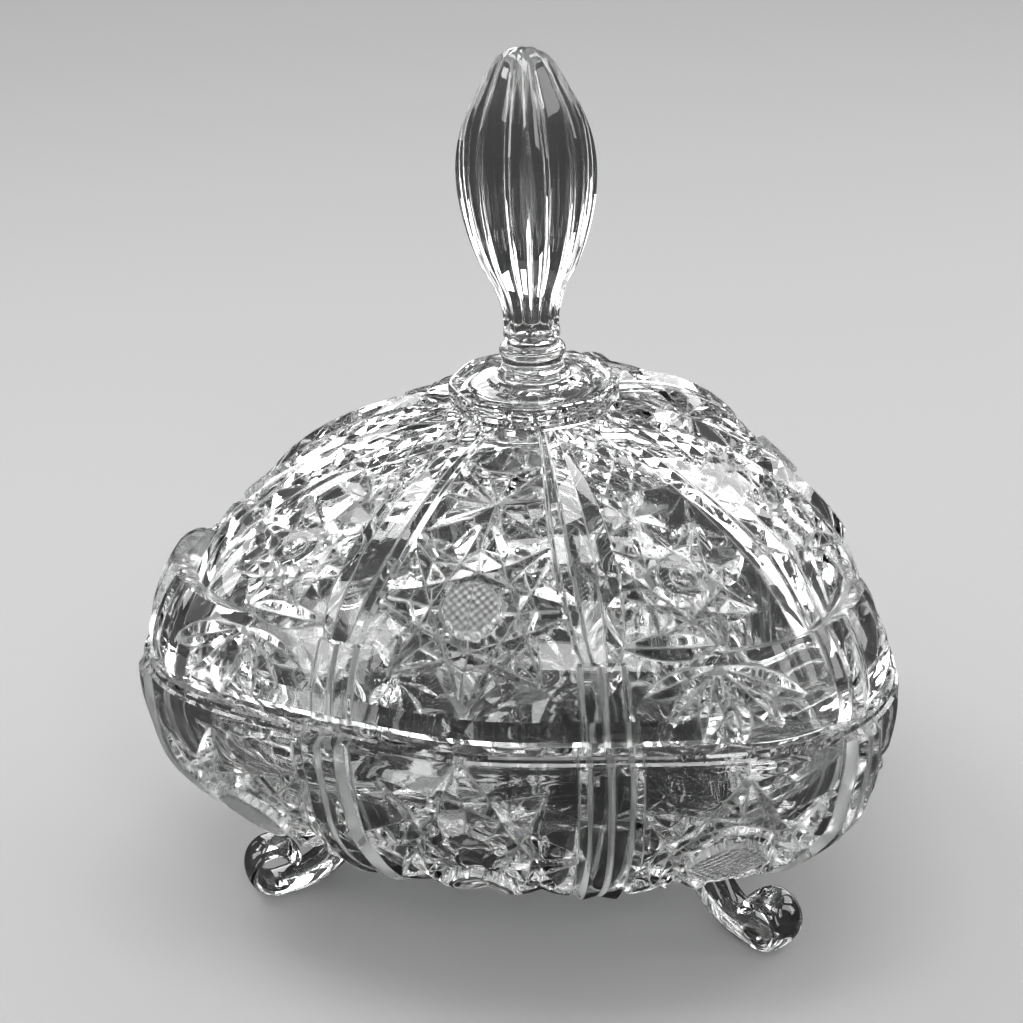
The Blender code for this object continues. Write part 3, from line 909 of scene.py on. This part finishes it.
lid_glass = clear_glass("clear_lid_glass", 0.04, 0.10, 0.38)
bowl_glass = clear_glass("clear_bowl_glass", 0.05, 0.10, 0.38)
foot_glass = clear_glass("clear_foot_glass", 0.03, 0.08, 0.0)
for piece, material in ((lid, lid_glass), (bowl, bowl_glass), (feet[0], foot_glass),
                        (feet[1], foot_glass), (feet[2], foot_glass)):
    piece.data.materials.append(material)

# %% [markdown]
# Each new piece rides on the body it belongs to, and stands for the plain
# solids of the frame that it covers.

# %% Hand the pieces over to the frame
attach(lid, "lid")
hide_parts("lid_dome", "lid_plate", "finial_neck", "finial")
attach(bowl, "base")
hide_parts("bowl")
for piece, node in zip(feet, ("foot_back", "foot_left", "foot_right")):
    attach(piece, "base")
    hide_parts(node)

# %% [markdown]
# Clear glass shows its surroundings, so the studio decides how it looks. A pale
# room alone would wash the facets out. So this studio isn't quite plain: the
# floor and the room are pale where they are seen directly, and nearly black to
# light that has met the glass. Bright strips stand all round, where neither the
# camera nor the floor sees them, and only the glass does. Under other lights
# the same glass looks paler and calmer.

# %% The studio
def sheet_of(name, corners, emit=0.0):
    """Make a flat four-cornered card for the studio."""
    mesh = bpy.data.meshes.new(name)
    mesh.from_pydata(corners, [], [(0, 1, 2, 3)])
    item = bpy.data.objects.new(name, mesh)
    bpy.context.scene.collection.objects.link(item)
    material = bpy.data.materials.new(name)
    material.use_nodes = True
    shader = material.node_tree.nodes["Principled BSDF"]
    shader.inputs["Base Color"].default_value = (0.8, 0.8, 0.8, 1)
    shader.inputs["Roughness"].default_value = 0.9
    shader.inputs["Specular IOR Level"].default_value = 0.0
    shader.inputs["Emission Color"].default_value = (1, 1, 1, 1)
    shader.inputs["Emission Strength"].default_value = emit
    mesh.materials.append(material)
    return item


FLOOR_REACH = 20.0
floor = sheet_of("floor", [(way_x * FLOOR_REACH, way_y * FLOOR_REACH, 0.0)
                           for way_x, way_y in ((-1, -1), (1, -1), (1, 1), (-1, 1))])


def dim_through_glass(tree, target, seen, lit, through):
    """Show one grey directly, one to light off a dull surface, and a dark one past the glass."""
    path = tree.nodes.new("ShaderNodeLightPath")
    last = None
    for output, level in (("Is Diffuse Ray", lit), ("Is Camera Ray", seen)):
        mix = tree.nodes.new("ShaderNodeMix")
        mix.data_type = "RGBA"
        mix.inputs["A"].default_value = (through, through, through, 1)
        mix.inputs["B"].default_value = (level, level, level, 1)
        tree.links.new(path.outputs[output], mix.inputs["Factor"])
        if last is not None:
            tree.links.new(last, mix.inputs["A"])
        last = mix.outputs["Result"]
    tree.links.new(last, target)


FLOOR_GREY = 0.36
FLOOR_PAST_GLASS = 0.03
ROOM_GREY = 0.42
ROOM_LIGHT = 1.15
ROOM_PAST_GLASS = 0.09
floor_tree = floor.data.materials[0].node_tree
dim_through_glass(floor_tree, floor_tree.nodes["Principled BSDF"].inputs["Base Color"],
                  FLOOR_GREY, FLOOR_GREY, FLOOR_PAST_GLASS)

world = bpy.data.worlds.new("dim_room")
bpy.context.scene.world = world
world.use_nodes = True
backdrop = world.node_tree.nodes["Background"]
backdrop.inputs["Strength"].default_value = 1.0
dim_through_glass(world.node_tree, backdrop.inputs["Color"],
                  ROOM_GREY, ROOM_LIGHT, ROOM_PAST_GLASS)

STRIP_COUNT = 7
RAISED_STRIP = 5
for number in range(STRIP_COUNT):
    middle = 2 * np.pi * (number + 0.35) / STRIP_COUNT
    wide = 0.10 + 0.05 * (number % 3)
    reach = 1.15
    low = 0.55 if number == RAISED_STRIP else 0.12 + 0.06 * (number % 2)
    high = 0.95
    corners = [(reach * np.cos(middle + way * wide), reach * np.sin(middle + way * wide), height)
               for way, height in ((-1, low), (1, low), (1, high), (-1, high))]
    strip = sheet_of("strip_light_%d" % number, corners, emit=4.2)
    strip.visible_camera = False
    strip.visible_diffuse = False


def soft_light(name, place, aim, size, power):
    """Hang a square soft light at a place, turned to face a point."""
    data = bpy.data.lights.new(name, "AREA")
    data.shape = "RECTANGLE"
    data.size, data.size_y = size
    data.energy = power
    item = bpy.data.objects.new(name, data)
    bpy.context.scene.collection.objects.link(item)
    item.location = place
    item.rotation_mode = "QUATERNION"
    item.rotation_quaternion = (Vector(aim) - Vector(place)).to_track_quat("-Z", "Y")
    return item


soft_light("key", (-0.50, 0.10, 0.75), (0, 0, 0.07), (0.30, 0.30), 2.4)
soft_light("window", (0.62, 0.55, 0.50), (0, 0, 0.08), (0.36, 0.30), 2.0)
soft_light("overhead", (0.05, -0.10, 0.95), (0, 0, 0.08), (0.55, 0.20), 3.0)
soft_light("front", (0.35, -0.62, 0.60), (0, 0, 0.05), (0.16, 0.16), 1.1)

# %% [markdown]
# The camera looks down at twenty-five degrees from in front of the right-hand
# foot, leaning a little, with a long lens.

# %% The camera
FOCAL_PIXELS = 2190.0
FRAME_PIXELS = 1023.0
DISTANCE = 482.0
ELEVATION = np.radians(25.0)
AZIMUTH = np.radians(-75.9)
AIM_HEIGHT = 84.4
aim = Vector((AXIS[0] * MM, AXIS[1] * MM, AIM_HEIGHT * MM))
back = Vector((np.cos(ELEVATION) * np.cos(AZIMUTH), np.cos(ELEVATION) * np.sin(AZIMUTH),
               np.sin(ELEVATION)))
camera_data = bpy.data.cameras.new("camera")
camera = bpy.data.objects.new("camera", camera_data)
bpy.context.scene.collection.objects.link(camera)
camera_data.sensor_width = 36.0
camera_data.lens = FOCAL_PIXELS / FRAME_PIXELS * 36.0
camera_data.shift_x = -26.5 / FRAME_PIXELS
camera.location = aim + back * DISTANCE * MM
look = (-back).to_track_quat("-Z", "Y")
lean = Vector((0, 0, 1))
camera.rotation_mode = "QUATERNION"
camera.rotation_quaternion = look @ Quaternion(lean, np.radians(-1.97))
bpy.context.scene.camera = camera

# %% [markdown]
# A ray meets many faces on its way through two cut walls. With too few bounces
# it would stop half-way and leave a black spot.

# %% Let light pass through many faces
scene = bpy.context.scene
scene.cycles.max_bounces = 24
scene.cycles.transmission_bounces = 24
scene.cycles.glossy_bounces = 8
scene.view_settings.view_transform = "Standard"
